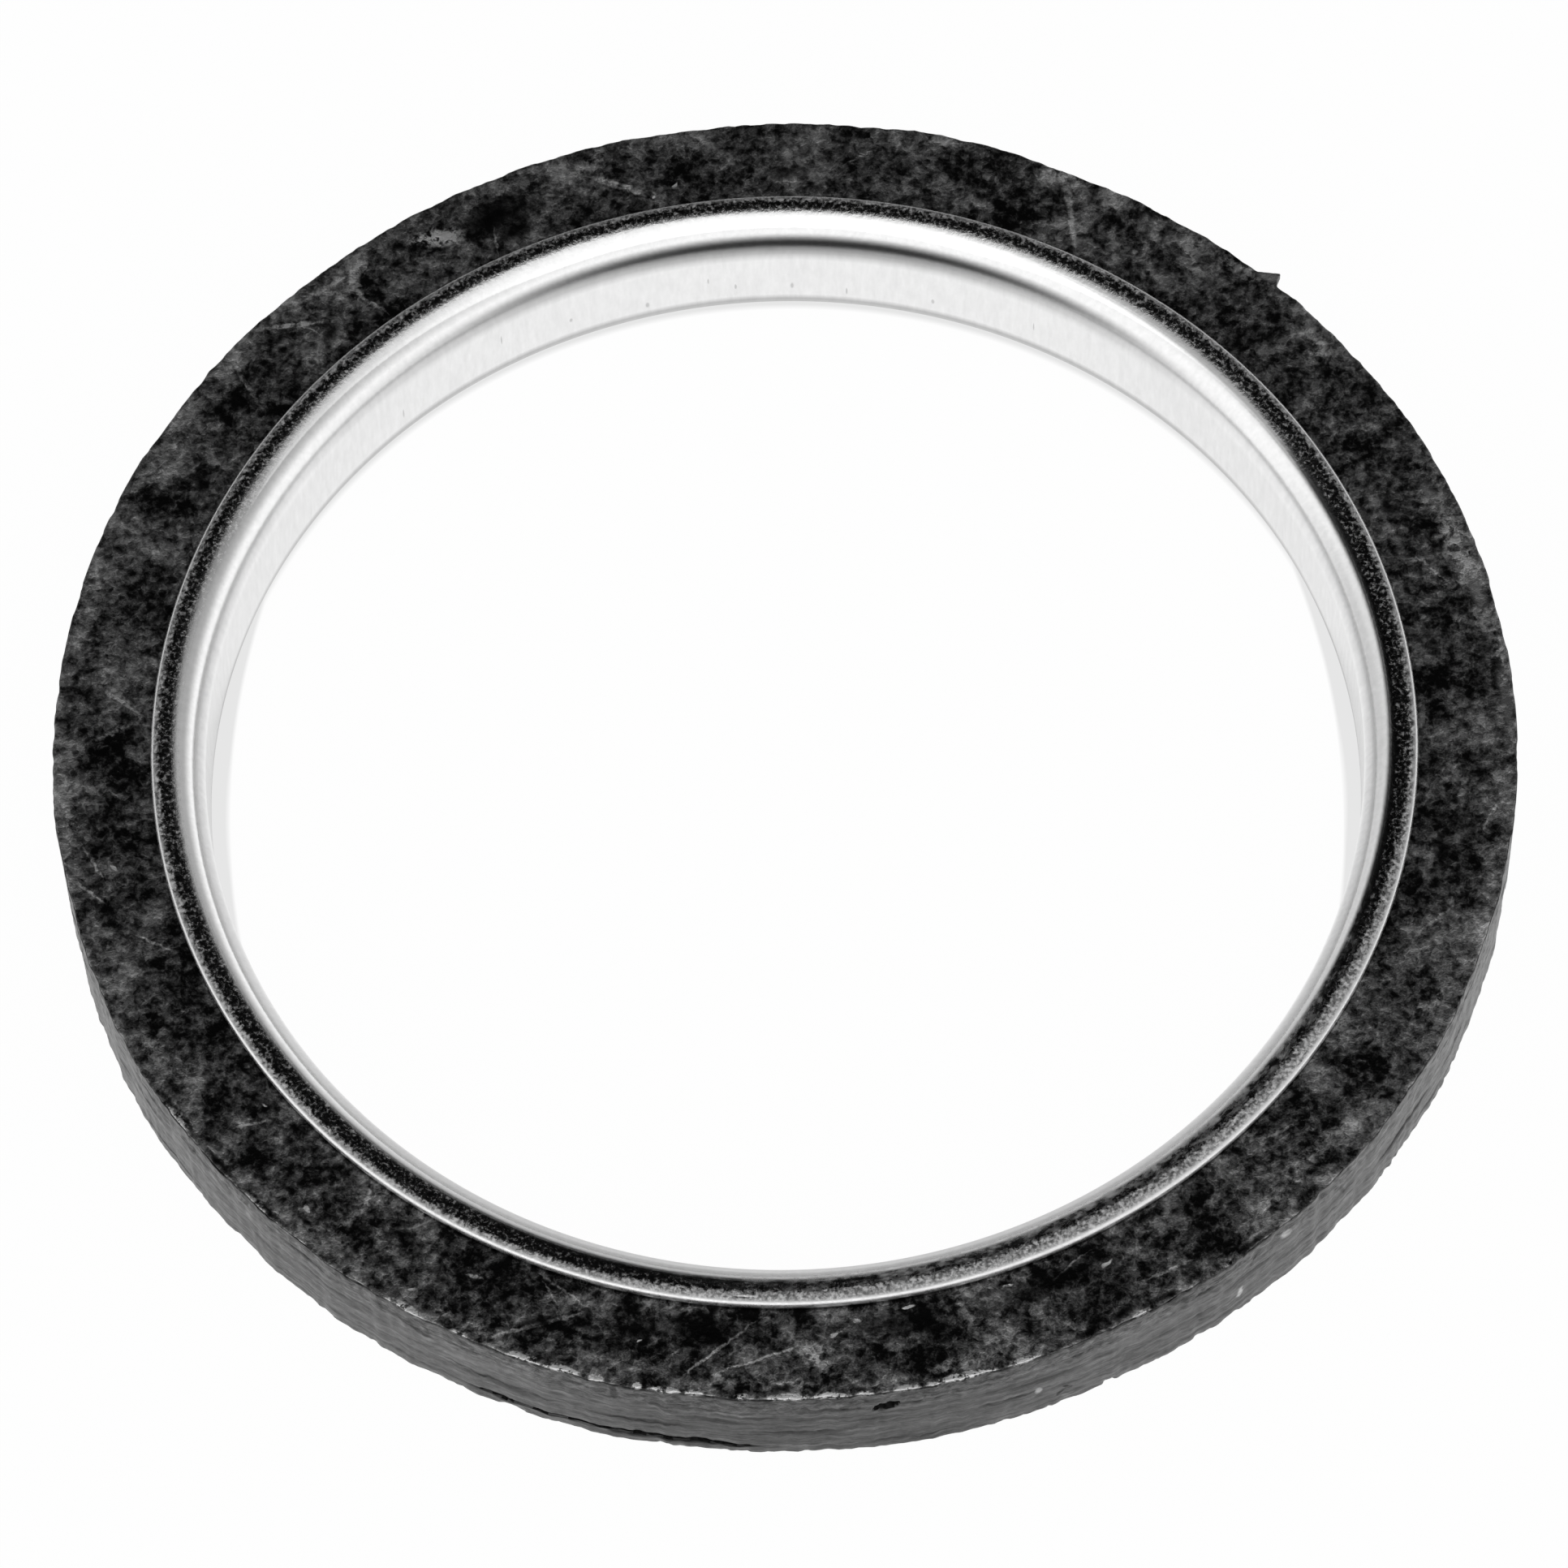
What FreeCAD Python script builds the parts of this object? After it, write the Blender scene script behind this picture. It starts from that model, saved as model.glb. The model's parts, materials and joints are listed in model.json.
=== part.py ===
import FreeCAD, Part
import math
import os

# Exhaust gasket: a die-cut ring of pressed graphite sheets, held in a thin metal sleeve that
# lines the bore and is turned outward over both faces of the graphite.
#
# Frame: the origin is on the bore's axis, in the plane that the lower lip rests on. +Z runs
# up the bore. -Y is the side with the torn pit and the split sheet. Millimetres.

# Sleeve
bore_diameter = 55.0
sheet_thickness = 0.5
upper_bend_radius = 1.45
upper_land_width = 0.35
lower_bend_radius = 0.8
lower_land_width = 1.0
lip_edge_bevel = 0.2

# Graphite ring
graphite_thickness = 5.8
graphite_beyond_lip = 4.7
sheet_count = 5
joint_groove_depth = 0.08
joint_groove_width = 0.18
cut_edge_bevel = 0.18
seating_gap = 0.02

# Flats that each bend is drawn with, on the side that shows and on the side against the graphite
upper_bend_chords = 6
lower_bend_chords = 3
upper_bend_tangents = 2
lower_bend_tangents = 1

# Split between the two lowest graphite sheets
split_start_angle = -118.0
split_sweep_angle = 24.5
split_depth = 0.4
split_mouth = 0.18

# Pit torn out of the wall under the upper face
pit_angle = -84.0
pit_below_face = 1.2
pit_depth = 0.33
pit_length = 1.2
pit_floor_length = 0.5

# Flap of the upper sheet that the die left standing out of the wall
flap_angle = 45.3
flap_root_width = 1.2
flap_reach = 0.55
flap_lean = 0.35
flap_below_face = 0.15
flap_thickness = 0.4
flap_root_depth = 0.6

# Radii and heights that follow from the sizes above
bore_radius = bore_diameter / 2
edge_bevel = min(lip_edge_bevel, 0.8 * sheet_thickness)
upper_corner_radius = upper_bend_radius + sheet_thickness
lower_corner_radius = lower_bend_radius + sheet_thickness
upper_lip_radius = bore_radius + upper_corner_radius + upper_land_width + edge_bevel
lower_lip_radius = bore_radius + lower_corner_radius + lower_land_width + edge_bevel
graphite_radius = max(upper_lip_radius, lower_lip_radius) + graphite_beyond_lip
lower_face = sheet_thickness + seating_gap
upper_face = lower_face + graphite_thickness
height = upper_face + seating_gap + sheet_thickness


def point(radius, z, angle=0.0):
    """Point at a radius and height, turned by an angle in degrees about the bore's axis."""
    turn = math.radians(angle)
    return FreeCAD.Vector(radius * math.cos(turn), radius * math.sin(turn), z)


def on_arc(centre, radius, degrees):
    """Point of the section's plane on an arc, with 0 degrees outward and 90 degrees up."""
    turn = math.radians(degrees)
    return point(centre[0] + radius * math.cos(turn), centre[1] + radius * math.sin(turn))


class Section:
    """Closed outline in the half plane of radius and height, drawn edge by edge."""

    def __init__(self, radius, z):
        self.start = point(radius, z)
        self.last = self.start
        self.edges = []

    def line(self, radius, z):
        self.add_line(point(radius, z))

    def add_line(self, end):
        if end.distanceToPoint(self.last) > 1e-7:
            self.edges.append(Part.LineSegment(self.last, end).toShape())
            self.last = end

    def chords(self, centre, radius, first, last, count):
        """Runs round an arc in chords, whose corners lie on the arc."""
        for corner in range(count + 1):
            self.add_line(on_arc(centre, radius, first + (last - first) * corner / count))

    def tangents(self, centre, radius, first, last, count):
        """Runs round an arc in lines that touch it, so two radii keep one gap all the way."""
        step = (last - first) / (count + 1)
        reach = radius / math.cos(math.radians(step / 2))
        for corner in range(count + 1):
            self.add_line(on_arc(centre, reach, first + step * (corner + 0.5)))

    def revolve(self, start_angle=0.0, sweep=360.0):
        self.add_line(self.start)
        face = Part.Face(Part.Wire(self.edges))
        axis = FreeCAD.Vector(0, 0, 1)
        face.rotate(FreeCAD.Vector(0, 0, 0), axis, start_angle)
        return face.revolve(FreeCAD.Vector(0, 0, 0), axis, sweep)


def bore_sleeve():
    """One pressed ring: a straight wall, turned outward at both ends into lips."""
    upper_bend = (bore_radius + upper_corner_radius, height - upper_corner_radius)
    lower_bend = (bore_radius + lower_corner_radius, lower_corner_radius)
    section = Section(upper_lip_radius, height - sheet_thickness)
    section.line(upper_lip_radius, height - edge_bevel)
    section.line(upper_lip_radius - edge_bevel, height)
    section.chords(upper_bend, upper_corner_radius, 90, 180, upper_bend_chords)
    section.chords(lower_bend, lower_corner_radius, 180, 270, lower_bend_chords)
    section.line(lower_lip_radius - edge_bevel, 0)
    section.line(lower_lip_radius, edge_bevel)
    section.line(lower_lip_radius, sheet_thickness)
    section.tangents(lower_bend, lower_bend_radius, 270, 180, lower_bend_tangents)
    section.tangents(upper_bend, upper_bend_radius, 180, 90, upper_bend_tangents)
    return section.revolve()


def graphite_blank():
    """The ring as it leaves the die: pressed round the sleeve's bends, grooved at each joint."""
    upper_bend = (bore_radius + upper_corner_radius, height - upper_corner_radius)
    lower_bend = (bore_radius + lower_corner_radius, lower_corner_radius)
    half_groove = joint_groove_width / 2
    section = Section(graphite_radius - cut_edge_bevel, lower_face)
    section.line(graphite_radius, lower_face + cut_edge_bevel)
    for joint in range(1, sheet_count):
        z = lower_face + joint * graphite_thickness / sheet_count
        section.line(graphite_radius, z - half_groove)
        section.line(graphite_radius - joint_groove_depth, z)
        section.line(graphite_radius, z + half_groove)
    section.line(graphite_radius, upper_face - cut_edge_bevel)
    section.line(graphite_radius - cut_edge_bevel, upper_face)
    section.tangents(upper_bend, upper_bend_radius - seating_gap, 90, 180, upper_bend_tangents)
    section.tangents(lower_bend, lower_bend_radius - seating_gap, 180, 270, lower_bend_tangents)
    return section.revolve()


def split_between_sheets():
    """Wedge of air where the lowest sheet has parted from the one above it."""
    z = lower_face + graphite_thickness / sheet_count
    outside = graphite_radius + split_mouth
    section = Section(graphite_radius - split_depth, z)
    section.line(outside, z - split_mouth / 2)
    section.line(outside, z + split_mouth / 2)
    return section.revolve(split_start_angle, split_sweep_angle)


def torn_pit():
    """Spindle of air that lies along the wall, half of it in the graphite."""
    centre = point(graphite_radius, upper_face - pit_below_face, pit_angle)
    along = point(1.0, 0.0, pit_angle + 90)
    floor = centre - point(pit_depth, 0.0, pit_angle)
    corners = [
        centre - along * (pit_length / 2),
        floor - along * (pit_floor_length / 2),
        floor + along * (pit_floor_length / 2),
        centre + along * (pit_length / 2),
    ]
    outline = Part.makePolygon(corners + corners[:1])
    return Part.Face(outline).revolve(centre, along, 360)


def die_flap():
    """Leaning tongue of the upper sheet, rooted inside the ring."""
    half_width = math.degrees(flap_root_width / 2 / graphite_radius)
    lean = math.degrees(flap_lean / graphite_radius)
    z = upper_face - flap_below_face - flap_thickness
    corners = [
        point(graphite_radius - flap_root_depth, z, flap_angle + half_width),
        point(graphite_radius - joint_groove_depth, z, flap_angle + half_width),
        point(graphite_radius + flap_reach, z, flap_angle - lean),
        point(graphite_radius + flap_reach * 0.3, z, flap_angle - half_width * 0.9),
        point(graphite_radius - flap_root_depth, z, flap_angle - half_width),
    ]
    outline = Part.makePolygon(corners + corners[:1])
    return Part.Face(outline).extrude(FreeCAD.Vector(0, 0, flap_thickness))


def graphite_ring():
    ring = graphite_blank().fuse(die_flap())
    return ring.cut([split_between_sheets(), torn_pit()]).removeSplitter()


pieces = {
    "graphite_ring": graphite_ring,
    "bore_sleeve": bore_sleeve,
}

os.makedirs("parts", exist_ok=True)
for name, make in pieces.items():
    shape = make()
    if shape.ShapeType == "Compound" and len(shape.Solids) == 1:
        shape = shape.Solids[0]
    shape.exportStep(f"parts/{name}.step")
    print(f"{name}: {len(shape.Solids)} solid, {shape.Volume:.1f} mm3, valid {shape.isValid()}")
print(f"outer diameter {2 * graphite_radius:.2f}, height {height:.2f}")
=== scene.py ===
import json
import math

import bpy
import numpy as np
from mathutils import Matrix, Vector, noise


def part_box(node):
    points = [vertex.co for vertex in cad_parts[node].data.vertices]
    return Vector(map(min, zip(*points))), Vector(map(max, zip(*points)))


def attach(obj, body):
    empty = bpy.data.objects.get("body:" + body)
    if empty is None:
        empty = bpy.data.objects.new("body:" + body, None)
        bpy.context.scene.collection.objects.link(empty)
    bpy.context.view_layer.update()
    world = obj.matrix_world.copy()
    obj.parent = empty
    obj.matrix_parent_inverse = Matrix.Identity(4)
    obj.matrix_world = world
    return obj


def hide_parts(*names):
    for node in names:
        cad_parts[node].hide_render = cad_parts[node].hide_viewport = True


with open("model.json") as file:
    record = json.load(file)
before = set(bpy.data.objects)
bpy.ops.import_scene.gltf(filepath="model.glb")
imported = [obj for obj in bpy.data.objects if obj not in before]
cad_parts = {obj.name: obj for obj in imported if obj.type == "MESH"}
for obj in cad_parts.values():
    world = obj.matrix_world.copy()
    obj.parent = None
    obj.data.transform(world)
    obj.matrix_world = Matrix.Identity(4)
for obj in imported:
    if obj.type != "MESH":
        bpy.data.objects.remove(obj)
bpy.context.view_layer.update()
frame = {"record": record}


# Graphite ring
# The real piece is a pack of thin graphite sheets, pressed hard and punched out with a die.
# The die tears the sheets a little, so the wall shows their edges, and handling scuffs the face.
MM = 0.001
ring_low, ring_high = (np.array(corner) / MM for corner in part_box("graphite_ring"))
sleeve_high = np.array(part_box("bore_sleeve")[1]) / MM
bore = next(mount for mount in frame["record"]["mounts"] if mount["name"] == "bore")
bore_radius = bore["dims"]["r_mm"]
bore_middle = bore["pos_m"][2] / MM
bore_length = bore["dims"]["length_mm"]

ring_radius = ring_high[0]
lower_face = ring_low[2]
upper_face = ring_high[2]
lip_radius = sleeve_high[0]
sleeve_top = sleeve_high[2]
seating_gap = 0.02
sheet = lower_face - seating_gap
upper_corner = sleeve_top - bore_middle - bore_length / 2
lower_corner = bore_middle - bore_length / 2
upper_bend = (bore_radius + upper_corner, sleeve_top - upper_corner)
lower_bend = (bore_radius + lower_corner, lower_corner)

ring_steps = 1440
foot_edge = 0.07
top_edge = 0.1
# Heights of the joints between the sheets, above the lower face
sheet_joints = (0.87, 2.4, 3.4, 4.62)
# The outline lies a little inside the ring's radius, and is a little oval
mean_inset = 0.14
oval = 0.1
split_angles = (-116.5, -94.0)
split_depth = 0.45
pit_angle = -84.0
pit_height = upper_face - 1.42
pit_depth = 0.45
flap_angles = (44.1, 46.3)
flap_peak = 0.68
flap_reach = 0.66
# Slow swells of the outline: angle in degrees, half width in degrees and rise in millimetres
swells = (
    (60, 10, -0.1), (97, 10, -0.06), (133, 12, -0.06), (160, 16, 0.06), (193, 6, -0.16), (22, 5, 0.05),
    (-5, 9, 0.07), (-38, 14, 0.08), (-108, 12, 0.08), (75, 7, 0.1),
)
# Bites out of the foot of the wall: angle, half width, depth and height in millimetres
bites = (
    (-66.0, 0.3, 0.16, 0.45), (-113.4, 0.5, 0.12, 0.3), (-101.0, 0.3, 0.1, 0.25),
    (-55.0, 0.5, 0.1, 0.3),
)


def arc_rows(centre, radius, first, last, count):
    """Section points round an arc, with 0 degrees outward and 90 degrees up."""
    turns = [math.radians(first + (last - first) * step / count) for step in range(count + 1)]
    return [(centre[0] + radius * math.cos(turn), centre[1] + radius * math.sin(turn)) for turn in turns]


def straight_rows(start, end, count):
    """Section points along a line, without its last."""
    start, end = np.array(start), np.array(end)
    return [tuple(start + (end - start) * step / count) for step in range(count)]


def lumps(places, size, seed):
    """Smooth random height, about -1 to 1, with lumps of about the given size in millimetres."""
    shift = Vector((seed * 17.3, seed * 5.1, seed * 9.7))
    return np.array([noise.noise(Vector(place) / size + shift) for place in places])


def smooth_step(low, high, values):
    """0 under the low value, 1 over the high one, and a smooth way between them."""
    share = np.clip((values - low) / (high - low), 0, 1)
    return share * share * (3 - 2 * share)


def spun(section, steps):
    """Radius and height of each row of a section, at every step round the ring."""
    rows = np.array(section)
    return np.repeat(rows[:, :1], steps, axis=1), np.repeat(rows[:, 1:], steps, axis=1)


def lathed_mesh(name, angles, radii, heights):
    """Closed ring of quads from one radius and height per row and step, in millimetres."""
    rows, steps = radii.shape
    turn = np.radians(angles)
    places = np.stack([radii * np.cos(turn), radii * np.sin(turn), heights], axis=2).reshape(-1, 3) * MM
    row, step = np.meshgrid(np.arange(rows), np.arange(steps), indexing="ij")
    next_row = (row + 1) % rows
    next_step = (step + 1) % steps
    corners = [row * steps + step, row * steps + next_step,
               next_row * steps + next_step, next_row * steps + step]
    faces = np.stack(corners, axis=2).reshape(-1, 4)
    mesh = bpy.data.meshes.new(name)
    mesh.from_pydata(places.tolist(), [], faces.tolist())
    mesh.polygons.foreach_set("use_smooth", [True] * len(faces))
    mesh.update()
    return mesh


def add_object(name, data):
    """Object in the scene with its own mesh, lamp or camera."""
    made = bpy.data.objects.new(name, data)
    bpy.context.scene.collection.objects.link(made)
    return made


def closer_steps(count, spots):
    """Angles in degrees round the ring, closer together at the spots."""
    fine = np.arange(-180, 180, 0.02)
    density = np.ones(len(fine))
    for middle, half, finer in spots:
        density += (finer - 1) * (np.abs(fine - middle) < half)
    share = np.cumsum(density) - density
    return np.interp(np.arange(count) / count * density.sum(), share, fine)


def wall_rows():
    """Heights up the wall, close together at each joint between sheets."""
    around_split = (-0.22, -0.16, -0.1, 0, 0.1, 0.16, 0.22)
    around_joint = (-0.075, 0, 0.075)
    heights = []
    last = foot_edge
    for number, joint in enumerate(sheet_joints):
        offsets = around_split if number == 0 else around_joint
        count = (3, 4, 3, 6)[number]
        heights += [last + (joint + offsets[0] - last) * step / count for step in range(1, count)]
        heights += [joint + offset for offset in offsets]
        last = heights[-1]
    top = upper_face - top_edge - lower_face
    heights += [last + (top - last) * step / 7 for step in range(1, 7)]
    return [lower_face + height for height in heights]


section = straight_rows((lower_bend[0], lower_face), (ring_radius - 0.5, lower_face), 3)
section += straight_rows((ring_radius - 0.5, lower_face), (ring_radius - foot_edge, lower_face), 1)
section += arc_rows((ring_radius - foot_edge, lower_face + foot_edge), foot_edge, 270, 360, 2)
section += [(ring_radius, height) for height in wall_rows()]
section += arc_rows((ring_radius - top_edge, upper_face - top_edge), top_edge, 0, 90, 3)
# The wall's material ends two thirds of the way round the upper edge
face_first = len(section) - 2
section += straight_rows((ring_radius - top_edge - 0.1, upper_face), (upper_bend[0], upper_face), 14)
section += arc_rows(upper_bend, upper_corner - sheet - seating_gap, 90, 180, 2)
section += arc_rows(lower_bend, lower_corner - sheet - seating_gap, 180, 240, 1)

flap_middle = (flap_angles[0] + flap_angles[1]) / 2
# Where the mesh is finer: angle, half width in degrees, and how many times finer
finer_spots = ((flap_middle, 1.4, 4), (pit_angle, 1.6, 1.8), (bites[0][0], 0.9, 1.8))
angles = closer_steps(ring_steps, finer_spots)
radii, heights = spun(section, ring_steps)
turn = np.radians(angles)
outline = ring_radius * np.stack([np.cos(turn), np.sin(turn), np.zeros(ring_steps)], axis=1)

# How far each place belongs to the cut wall, and whether it lies on the upper face
in_wall = smooth_step(ring_radius - 0.6, ring_radius - 0.15, radii)
on_face = smooth_step(upper_face - 0.1, upper_face - 0.02, heights) * (radii > upper_bend[0] - 0.01)

# The torn outline: a little oval, with slow swells and a finer and finer raggedness
outline_wave = -mean_inset + oval * np.cos(2 * turn) + 0.04 * lumps(outline, 9.0, 2) \
    + 0.04 * np.tanh(3.0 * lumps(outline, 2.6, 1)) \
    + 0.07 * lumps(outline, 0.9, 3) + 0.04 * lumps(outline, 0.35, 9)
for middle, half, rise in swells:
    away = (angles - middle + 180) % 360 - 180
    outline_wave = outline_wave + rise * np.exp(-(away / half) ** 2)

# The sheets wander up and down a little between the two faces
joint_wave = 0.16 * lumps(outline, 9.0, 4) + 0.07 * lumps(outline, 1.6, 5) \
    + 0.045 * lumps(outline, 0.5, 31)
heights = heights + joint_wave * in_wall * smooth_step(lower_face + 0.1, lower_face + 0.7, heights) \
    * (1 - smooth_step(upper_face - 0.9, upper_face - 0.2, heights))

# Grooves at the joints, the lowest of which has parted at the near side, and uneven sheets
places = np.stack([radii * np.cos(turn), radii * np.sin(turn), heights], axis=2).reshape(-1, 3)
relief = np.zeros(radii.shape)
recess = np.zeros(radii.shape)
for number, joint in enumerate(sheet_joints):
    centre = lower_face + joint + joint_wave
    opening = 0.045 * np.clip(2.0 * lumps(outline, 4.5, 10 + number) - 0.1, 0, 1)
    width = 0.06
    if number == 0:
        parted = smooth_step(split_angles[0] - 1, split_angles[0] + 3, angles) \
            * (1 - smooth_step(split_angles[1] - 2.5, split_angles[1] + 0.5, angles))
        ragged = 0.75 + 0.5 * lumps(outline, 1.1, 33)
        opening = opening + split_depth * parted * np.clip(ragged, 0.35, 1)
        width = 0.06 + parted * (0.03 + 0.09 * np.clip(0.5 + 1.2 * lumps(outline, 0.9, 34), 0, 1))
    relief -= opening * np.exp(-((heights - centre) / width) ** 4)
    recess += opening / split_depth * np.exp(-((heights - centre) / width) ** 4)
bounds = [0, *sheet_joints, upper_face - lower_face]
in_pack = heights - lower_face - joint_wave
for number in range(len(bounds) - 1):
    inside = (in_pack >= bounds[number]) & (in_pack < bounds[number + 1])
    relief += np.where(inside, 0.04 * lumps(outline, 3.0, 20 + number), 0)
flat = places.copy()
flat[:, 2] *= 3.5
relief += 0.025 * lumps(flat, 1.1, 6).reshape(radii.shape)
relief -= 0.03 * smooth_step(upper_face - 1.7, upper_face - 1.0, heights) \
    * np.clip(lumps(places, 0.6, 35).reshape(radii.shape), 0, 1)
radii = radii + in_wall * np.minimum(outline_wave + relief, 0)

# The foot of the wall, crumbled here and there
foot_rag = np.clip(0.3 + 1.5 * lumps(outline, 0.4, 41), 0, 1) \
    * np.clip(0.4 + 1.6 * lumps(outline, 2.0, 42), 0, 1)
near_foot = 1 - smooth_step(lower_face + 0.25, lower_face + 0.6, heights)
radii = radii - 0.09 * in_wall * foot_rag * near_foot

# The pit, and the bites out of the foot
side = (angles - pit_angle) * math.radians(1) * ring_radius
rise = heights - pit_height - 0.12 * side
pit = (side / 0.6) ** 2 + (rise / 0.3) ** 2 + 0.35 * lumps(places, 0.4, 36).reshape(radii.shape)
torn_out = in_wall * (1 - smooth_step(0.55, 1.25, pit))
radii = radii - pit_depth * torn_out
recess += 1.2 * torn_out
for angle, half, depth, height in bites:
    side = (angles - angle) * math.radians(1) * ring_radius
    bite = (1 - smooth_step(0.5, 1.2, np.abs(side) / half)) \
        * (1 - smooth_step(lower_face + height * 0.6, lower_face + height, heights))
    radii = radii - depth * in_wall * bite

# The flap, which rises slowly from one side and ends in a point
share = (flap_angles[1] - angles) / (flap_angles[1] - flap_angles[0])
fall = np.clip((1 - share) / (1 - flap_peak), 0, 1) ** 2
reach = np.where(share < flap_peak, share / flap_peak, fall)
reach = np.where((share > 0) & (share < 1), reach, 0)
flap = reach * smooth_step(upper_face - 0.75, upper_face - 0.5, heights)
radii = radii + flap_reach * in_wall * flap

# Shallow scuffs in the upper face
scuff = (0.012 * lumps(places, 0.9, 7) + 0.02 * lumps(places, 3.5, 8)).reshape(radii.shape)
heights = heights + on_face * np.minimum(scuff, 0.0) * (radii > lip_radius - 0.3)

ring_mesh = lathed_mesh("graphite_ring_look", angles, radii, heights)
graphite_piece = add_object("graphite_ring_look", ring_mesh)
is_face = np.zeros(len(section), dtype=int)
is_face[face_first:] = 1
recess_of_quad = (recess + np.roll(recess, -1, axis=0) + np.roll(recess, -1, axis=1)
                  + np.roll(np.roll(recess, -1, axis=0), -1, axis=1)) / 4
# Quads deep in a recess take the third material, the painted shade of the torn insides
torn_from = 0.17
is_torn = recess_of_quad > torn_from
ring_mesh.polygons.foreach_set("material_index", np.where(is_torn, 2, is_face[:, None]).ravel())
recess_values = ring_mesh.attributes.new("recess", "FLOAT", "POINT")
recess_values.data.foreach_set("value", np.clip(recess, 0, 1).ravel())


def node(tree, kind, *sources, **settings):
    """Adds a shader node, sets its properties and feeds its inputs in order."""
    made = tree.nodes.new("ShaderNode" + kind)
    for name, value in settings.items():
        setattr(made, name, value)
    for socket, source in zip(made.inputs, sources):
        if isinstance(source, bpy.types.NodeSocket):
            tree.links.new(source, socket)
        elif source is not None:
            socket.default_value = source
    return made.outputs[0]


def value_node(tree, kind, *sources, **settings):
    """As node, for the kinds whose number comes out of a socket of its own."""
    return node(tree, kind, *sources, **settings).node.outputs["Value"]


def math_node(tree, operation, *sources):
    """Adds a shader node that does one sum with its inputs."""
    return node(tree, "Math", *sources, operation=operation)


def times(tree, first, second):
    """One value times another."""
    return math_node(tree, "MULTIPLY", first, second)


def grain(tree, place, per_mm, detail=2.0, roughness=0.5):
    """Cloudy noise, 0 to 1, from a place in millimetres."""
    made = tree.nodes.new("ShaderNodeTexNoise")
    tree.links.new(place, made.inputs["Vector"])
    made.inputs["Scale"].default_value = per_mm
    made.inputs["Detail"].default_value = detail
    made.inputs["Roughness"].default_value = roughness
    return made.outputs["Fac"]


def spread(tree, source, low, high, to_low=0.0, to_high=1.0):
    """Stretches a value from one range to another and holds it there."""
    return node(tree, "MapRange", source, low, high, to_low, to_high)


def add_to(tree, total, source, amount):
    """The total plus an amount of how far a noise is above its middle."""
    above = math_node(tree, "SUBTRACT", source, 0.5)
    return math_node(tree, "MULTIPLY_ADD", above, amount, total)


def place_and_axes(tree):
    """The place on a piece in millimetres, and its X, Y and Z."""
    coordinates = tree.nodes.new("ShaderNodeTexCoord").outputs["Object"]
    place = node(tree, "VectorMath", coordinates, None, None, 1 / MM, operation="SCALE")
    separate = tree.nodes.new("ShaderNodeSeparateXYZ")
    tree.links.new(place, separate.inputs[0])
    return place, separate.outputs


def level_and_radius(tree, axes):
    """The part of a place in the level plane, and its length, the distance from the axis."""
    level = node(tree, "CombineXYZ", axes["X"], axes["Y"], 0.0)
    return level, value_node(tree, "VectorMath", level, operation="LENGTH")


def astray(tree, place, per_mm, reach):
    """The place led astray by noise, so that what is drawn there looks torn."""
    made = tree.nodes.new("ShaderNodeTexNoise")
    tree.links.new(place, made.inputs["Vector"])
    made.inputs["Scale"].default_value = per_mm
    middle = node(tree, "VectorMath", made.outputs["Color"], (0.5, 0.5, 0.5), operation="SUBTRACT")
    reaches = (2 * reach, 2 * reach, 2 * reach)
    return node(tree, "VectorMath", middle, reaches, place, operation="MULTIPLY_ADD")


def raise_surface(tree, shader, relief, depth):
    """Bumps a surface by a relief, with the depth in millimetres of a relief of 1."""
    bump = tree.nodes.new("ShaderNodeBump")
    bump.inputs["Distance"].default_value = depth * MM
    tree.links.new(relief, bump.inputs["Height"])
    tree.links.new(bump.outputs[0], shader.inputs["Normal"])


def new_material(name):
    """Material with its node tree and its one surface shader."""
    material = bpy.data.materials.new(name)
    material.use_nodes = True
    tree = material.node_tree
    tree.nodes.clear()
    shader = tree.nodes.new("ShaderNodeBsdfPrincipled")
    output = tree.nodes.new("ShaderNodeOutputMaterial")
    tree.links.new(shader.outputs[0], output.inputs["Surface"])
    return material, tree, shader


def ring_place(turn, radius, height):
    """Place on the ring from its angle in degrees, its radius and its height in millimetres."""
    turn = math.radians(turn)
    return Vector((radius * math.cos(turn), radius * math.sin(turn), height))


def marks(tree, place, spots, soft=0.5):
    """The strongest of some long marks, 1 in the middle of one and 0 off them all.

    Each is a start, an end, a width, a strength and the way that its surface faces."""
    total = 0.0
    for start, end, width, strength, outward in spots:
        along = end - start
        half = along.length / 2 + width / 2
        along = along.normalized() if along.length > 0.01 else outward.orthogonal().normalized()
        across = along.cross(outward).normalized()
        turned = Matrix((along, across, along.cross(across))).transposed().to_euler()
        middle = (start + end) / 2
        local = node(tree, "VectorRotate", place, middle, None, None, turned,
                     rotation_type="EULER_XYZ", invert=True)
        shrink = Vector((1 / half, 2 / width, 1.25))
        local = node(tree, "VectorMath", local, shrink, operation="MULTIPLY")
        away = value_node(tree, "VectorMath", local, middle * shrink, operation="DISTANCE")
        mark = math_node(tree, "MULTIPLY_ADD", away, -strength / soft, strength / soft)
        total = math_node(tree, "MAXIMUM", math_node(tree, "MINIMUM", mark, strength), total)
    return total


def on_the_face(rows, wider=1.0, height=upper_face):
    """Marks on a level face, from the angle and radius of both ends, a width and a strength."""
    upward = Vector((0, 0, 1))
    return [(ring_place(a, b, height), ring_place(c, d, height), width * wider, strength, upward)
            for a, b, c, d, width, strength in rows]


def on_the_wall(rows):
    """Marks on the wall, from the angle and height of both ends, a width and a strength."""
    radius = ring_radius - 0.15
    return [(ring_place(a, radius, b), ring_place(c, radius, d), width * 1.5, strength,
             ring_place((a + c) / 2, 1, 0)) for a, b, c, d, width, strength in rows]


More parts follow.
